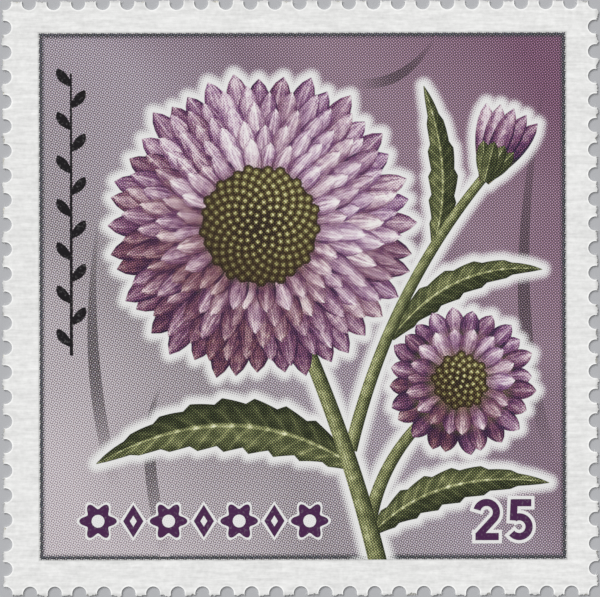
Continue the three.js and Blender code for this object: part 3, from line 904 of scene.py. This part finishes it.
def plant_tree():
    """The tops of the plant's printed pieces, flattened, to measure from."""
    bm = bmesh.new()
    for piece in bpy.data.objects:
        if piece.name.endswith("_print"):
            bm.from_mesh(piece.data)
    bmesh.ops.delete(bm, geom=[face for face in bm.faces if face.normal.z <= 0.5], context="FACES")
    bmesh.ops.scale(bm, vec=(1, 1, 0), verts=bm.verts)
    tree = BVHTree.FromBMesh(bm)
    bm.free()
    return tree


def set_halo(bm, plant):
    """Marks how far each point has gone to bare paper, by its distance from the plant."""
    for vert in bm.verts:
        away = plant.find_nearest((vert.co.x, vert.co.y, 0))[3]
        share = min(max((away - HALO_NEAR) / (HALO_FAR - HALO_NEAR), 0), 1)
        vert[bm.verts.layers.float[HALO]] = 1 - share * share * (3 - 2 * share)


class STAMP_OT_make_ground(bpy.types.Operator):
    """Makes the ground behind the plant, its frame line and its blades of grass"""
    bl_idname = "stamp.make_ground"
    bl_label = "Ground"

    def execute(self, context):
        plant = plant_tree()
        bm = new_film()
        square(bm, GROUND_CELLS, PANEL_HALF, (*PANEL.xy, PAPER_TOP + LIFTS["ground"]))
        set_halo(bm, plant)
        bmesh.ops.translate(bm, verts=grow_rim(bm), vec=(0, 0, -LIFTS["ground"]))
        bmesh.ops.holes_fill(bm, edges=open_edges(bm), sides=0)
        bmesh.ops.recalc_face_normals(bm, faces=bm.faces)
        ink = printed("Offset ink, ground", ground_paint)
        place_piece("ground_film", bm, [ink], "ground_ink")
        bm = new_film()
        for half in (PANEL_HALF, PANEL_HALF - FRAME_LINE):
            square(bm, 1, half, (*PANEL.xy, PAPER_TOP + LIFTS["frame"]))
        bmesh.ops.delete(bm, geom=bm.faces[:], context="FACES_ONLY")
        bmesh.ops.bridge_loops(bm, edges=bm.edges[:])
        face_up(bm)
        bmesh.ops.subdivide_edges(bm, edges=bm.edges[:], cuts=FRAME_CUTS, use_grid_fill=True)
        set_halo(bm, plant)
        ink = printed("Offset ink, frame line", frame_line_paint)
        place_film("frame_line_film", bm, [ink], "frame_line")
        ink = printed("Offset ink, grass", grass_paint)
        for index, blade in enumerate(GRASS, 1):
            bm = new_film()
            ribbon(bm, curve(*blade["path"]), lambda u: blade["width"] * swell(u, 0.3, 0.99) + LEAST_WIDTH,
                   LIFTS["grass"], steps=120, lanes=6)
            set_halo(bm, plant)
            name = f"grass_blade_{index}"
            place_film(f"{name}_film", bm, [ink], name)
        return {"FINISHED"}


# Figures, ornaments and vine

FIGURES_FOOT = (10.5, -14.9)
FIGURE_PITCH = 2.05
FIGURE_STROKE = 0.22
FIGURE_MARGIN = 0.2
ORNAMENT_MARGIN = 0.16
ROW_START = (-12.5, -13.7)
ROW_PITCH = 2.15
ROW_PLACES = 7
LOBES = 6
LOBE_DEPTH = 0.18
ROSETTE_RADIUS = 1.15
LOZENGE = (0.62, 1.0)
LOZENGE_MARGIN = 1.3
EYE_SHARE = 0.34
VINE = {"foot": (-14.1, -3.6), "top": 13.6, "width": 0.1, "taper": 0.4}
# How far a leaflet's bend and tip stand aside of its root and above it, as shares of its reach
LEAFLET = {"count": 13, "reach": 1.2, "width": 0.28, "bend": (0.45, 0.28), "tip": (0.7, 0.8)}
BOWL_STEPS = 72


def bowl(x, y, radius, start, end):
    """Points on an arc, from one angle to another."""
    turns = [math.radians(start + (end - start) * i / BOWL_STEPS) for i in range(BOWL_STEPS + 1)]
    return [(x + radius * math.cos(turn), y + radius * math.sin(turn)) for turn in turns]


TWO_BOWL = bowl(0.68, 1.7, 0.6, 165, -43)
# Each figure's strokes, in millimetres from its lower left
FIGURE_STROKES = {
    "two": [TWO_BOWL, [TWO_BOWL[-1], (0.16, 0.26)], [(0, 0.22), (1.42, 0.22)]],
    "five": [[(0.18, 2.28), (1.36, 2.28)], [(0.32, 2.48), (0.26, 1.2)], bowl(0.62, 0.82, 0.6, 120, -140)],
}


def margin_paint(tree):
    """Bare paper kept clear of dots round the figures, faintly toned."""
    mottle = add(tree, "TexNoise", object_place(tree), 1 / (0.2 * MM))
    tone = add(tree, "MapRange", mottle, 0.0, 1.0, 0.0, 0.12)
    return add(tree, "Mix", tone, bare_paper(), srgb("C9BFCA"), data_type="RGBA")


def stroke_line(points, place, grown):
    """The stroke as a line for u from 0 to 1, drawn out at both ends by what it is grown."""
    left, foot = FIGURES_FOOT
    spots = [Vector((left + place * FIGURE_PITCH + x, foot + y)) for x, y in points]
    spots[0] += (spots[0] - spots[1]).normalized() * grown
    spots[-1] += (spots[-1] - spots[-2]).normalized() * grown
    runs = [(b - a).length for a, b in zip(spots, spots[1:])]

    def line(u):
        rest = u * sum(runs)
        for a, b, run in zip(spots, spots[1:], runs):
            if rest <= run:
                return in_panel(*a.lerp(b, rest / run))
            rest -= run
        return in_panel(*spots[-1])

    return line


def figure_shape(strokes, place):
    """A figure's strokes over a wider set that keeps the paper bare round them."""
    bm = new_film()
    for lift, grown, material in ((LIFTS["reserve"], FIGURE_MARGIN, 1), (LIFTS["mark"], 0, 0)):
        for index, points in enumerate(strokes):
            ribbon(bm, stroke_line(points, place, grown), lambda u: FIGURE_STROKE + grown,
                   lift + index * NEXT_STROKE, steps=BOWL_STEPS if len(points) > 2 else 2, material=material)
    return bm


def rosette_reach(grown):
    return lambda angle: [ROSETTE_RADIUS * (1 - LOBE_DEPTH * (1 - math.cos(LOBES * angle))) + grown] * 2


def lozenge_reach(size, grown):
    return lambda angle: [half * size + LOZENGE_MARGIN * grown for half in LOZENGE]


def ornament_shape(place):
    """A rosette or a lozenge: a bare eye, drawn out to a ring of ink, and that to a bare margin. Each of the
    three outlines is a rule for its reach across and up."""
    bm = new_film()
    middle = in_panel(ROW_START[0] + place * ROW_PITCH, ROW_START[1])
    if place % 2:
        corners = 4
        rules = [lozenge_reach(EYE_SHARE, 0), lozenge_reach(1, 0), lozenge_reach(1, ORNAMENT_MARGIN)]
    else:
        corners = 12 * LOBES
        rules = [lambda angle: [ROSETTE_RADIUS * EYE_SHARE] * 2, rosette_reach(0),
                 rosette_reach(ORNAMENT_MARGIN)]
    centre = Matrix.Translation((*middle, PAPER_TOP + LIFTS["mark"]))
    verts = bmesh.ops.create_circle(bm, cap_ends=True, segments=corners, radius=MM, matrix=centre)["verts"]
    for step, rule in enumerate(rules):
        if step:
            verts = grow_rim(bm)
        for vert in verts:
            angle = math.atan2(vert.co.y - middle.y, vert.co.x - middle.x)
            across, up = rule(angle)
            vert.co.xy = middle + Vector((across * math.cos(angle), up * math.sin(angle))) * MM
        give_material(verts, (step + 1) % 2)
    face_up(bm)
    return bm


def vine_shape():
    """A fine upright stem with leaflets to either side in turn."""
    bm = new_film()
    x, low = VINE["foot"]
    height = VINE["top"] - low
    ribbon(bm, lambda u: in_panel(x, low + height * u), lambda u: VINE["width"] * (1 - VINE["taper"] * u),
           LIFTS["vine"], steps=4)
    for index in range(LEAFLET["count"]):
        y = low + height * (index + 0.5) / LEAFLET["count"]
        up = LEAFLET["reach"]
        aside = up if index % 2 else -up
        bend, tip = ((x + aside * share[0], y + up * share[1]) for share in (LEAFLET["bend"], LEAFLET["tip"]))
        ribbon(bm, curve((x, y), bend, tip), petal_width(LEAFLET["width"]), LIFTS["vine"] + NEXT_STROKE)
    return bm


class STAMP_OT_make_marks(bpy.types.Operator):
    """Makes the printed figures, the row of ornaments and the fine vine"""
    bl_idname = "stamp.make_marks"
    bl_label = "Figures and ornaments"

    def execute(self, context):
        printing = context.scene.stamp_print
        inks = [solid_ink("Offset ink, solid purple", printing.figure),
                printed("Bare coated paper in the print", margin_paint)]
        for place, (name, strokes) in enumerate(FIGURE_STROKES.items()):
            name = f"figure_{name}"
            place_film(f"{name}_film", figure_shape(strokes, place), inks, name)
        for place in range(ROW_PLACES):
            name = f"{'lozenge' if place % 2 else 'rosette'}_{place // 2 + 1}"
            place_film(f"{name}_film", ornament_shape(place), inks, name)
        black = solid_ink("Offset ink, black", printing.vine)
        place_film("margin_vine_film", vine_shape(), [black], "margin_vine")
        return {"FINISHED"}


# Stage

# The photograph's frame: its size, the stamp's middle and the pitch of the holes, in pixels
FRAME_PX = (600, 597)
MIDDLE_PX = (300.2, 297.9)
PITCH_PX = 24.61
# The stamp lies turned a little to the left in the frame
TURNED = math.radians(0.12)
# The floor reaches far past the frame, and lies just clear of the gum
FLOOR_HALF = 15
FLOOR_GAP = 2 * MICRON
KEY_PLACE = (-0.42, 0.5, 0.62)
KEY_SPREAD = math.radians(35)


def floor_card(tree):
    """Matt pale card: an even tone with a soft fibre mottle about 1.5 mm across."""
    grain = add(tree, "TexNoise", object_place(tree), 1 / (1.5 * MM), 4.0)
    tone = total(tree, 0.97, (grain, 0.06))
    colour = add(tree, "VectorMath", tuple(bpy.context.scene.stamp_stage.floor), tone, operation="SCALE")
    return add(tree, "BsdfPrincipled", colour, named={"Roughness": 0.9, "Specular IOR Level": 0.2})


class STAMP_OT_make_stage(bpy.types.Operator):
    """Sets the pale floor, the soft light and the copying camera straight above"""
    bl_idname = "stamp.make_stage"
    bl_label = "Stage"

    def execute(self, context):
        scene = context.scene
        stage = scene.stamp_stage
        bm = bmesh.new()
        square(bm, 8, FLOOR_HALF, (0, 0, -FLOOR_GAP))
        floor = shape_object("floor", bm, [new_material("Matt card", floor_card)])
        scene.world = bpy.data.worlds.new("soft_light")
        scene.world.use_nodes = True
        sky = scene.world.node_tree.nodes["Background"].inputs
        sky["Color"].default_value = (1, 1, 1, 1)
        sky["Strength"].default_value = stage.sky
        lamp = bpy.data.lights.new("key_light", "SUN")
        lamp.angle = KEY_SPREAD
        lamp.energy = stage.key
        key = new_object("key_light", lamp)
        key.location = KEY_PLACE
        key.rotation_euler = (-key.location).to_track_quat("-Z", "Y").to_euler()
        metres_a_pixel = PITCH / PITCH_PX
        lens = bpy.data.cameras.new("copy_camera")
        lens.lens = stage.lens
        lens.clip_start = 0.01
        lens.clip_end = 20
        camera = new_object("copy_camera", lens)
        camera.location = ((FRAME_PX[0] / 2 - MIDDLE_PX[0]) * metres_a_pixel,
                           (MIDDLE_PX[1] - FRAME_PX[1] / 2) * metres_a_pixel,
                           PAPER_TOP + FRAME_PX[0] * metres_a_pixel * lens.lens / lens.sensor_width)
        camera.rotation_euler.z = -TURNED
        scene.camera = camera
        scene.view_settings.view_transform = "Standard"
        return {"FINISHED"}


# The add-on

OPERATORS = (
    STAMP_OT_make_stage,
    STAMP_OT_make_sheet,
    STAMP_OT_make_blooms,
    STAMP_OT_make_bud,
    STAMP_OT_make_leaves,
    STAMP_OT_make_ground,
    STAMP_OT_make_marks,
)
SETTINGS = {"stamp_sheet": SheetSettings, "stamp_print": PrintSettings, "stamp_stage": StageSettings}


class STAMP_PT_panel(bpy.types.Panel):
    """Lists the stamp's settings and the steps that make it"""
    bl_idname = "STAMP_PT_panel"
    bl_label = "Postage stamp"
    bl_space_type = "VIEW_3D"
    bl_region_type = "UI"
    bl_category = "Stamp"

    def draw(self, context):
        for name, group in SETTINGS.items():
            box = self.layout.box()
            for key in group.__annotations__:
                box.prop(getattr(context.scene, name), key)
        for operator in OPERATORS:
            self.layout.operator(operator.bl_idname)


CLASSES = (*SETTINGS.values(), *OPERATORS, STAMP_PT_panel)


def register():
    for cls in CLASSES:
        bpy.utils.register_class(cls)
    for name, group in SETTINGS.items():
        setattr(bpy.types.Scene, name, PointerProperty(type=group))


def unregister():
    for name in SETTINGS:
        delattr(bpy.types.Scene, name)
    for cls in reversed(CLASSES):
        bpy.utils.unregister_class(cls)


def main():
    register()
    bpy.ops.stamp.make_stage()
    bpy.ops.stamp.make_sheet()
    bpy.ops.stamp.make_blooms()
    bpy.ops.stamp.make_bud()
    bpy.ops.stamp.make_leaves()
    bpy.ops.stamp.make_ground()
    bpy.ops.stamp.make_marks()


if __name__ == "__main__":
    main()
